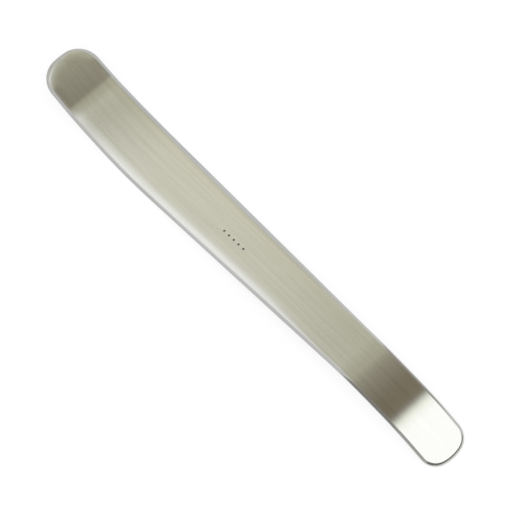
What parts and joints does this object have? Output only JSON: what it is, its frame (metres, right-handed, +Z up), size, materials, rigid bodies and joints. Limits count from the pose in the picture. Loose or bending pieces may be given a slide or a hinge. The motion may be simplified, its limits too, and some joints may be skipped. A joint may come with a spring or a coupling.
{
  "type": "tongue depressor",
  "caption": "Double-ended tongue depressor: a waisted strip of satin steel with rounded tips, the wide one bent up and the narrow one bent down.",
  "frame": {"origin": "middle of the strip's bounding box, on the surface that the strip lies on", "axes": "+X along the strip towards the narrow tip, +Y across the strip, +Z up"},
  "size_m": [0.18, 0.0204, 0.01],
  "materials": {
    "satin_steel": "satin stainless steel, finely brushed along its length, with soft polished edges"
  },
  "bodies": {
    "root": {"tongue_depressor": "satin_steel"}
  },
  "joints": []
}
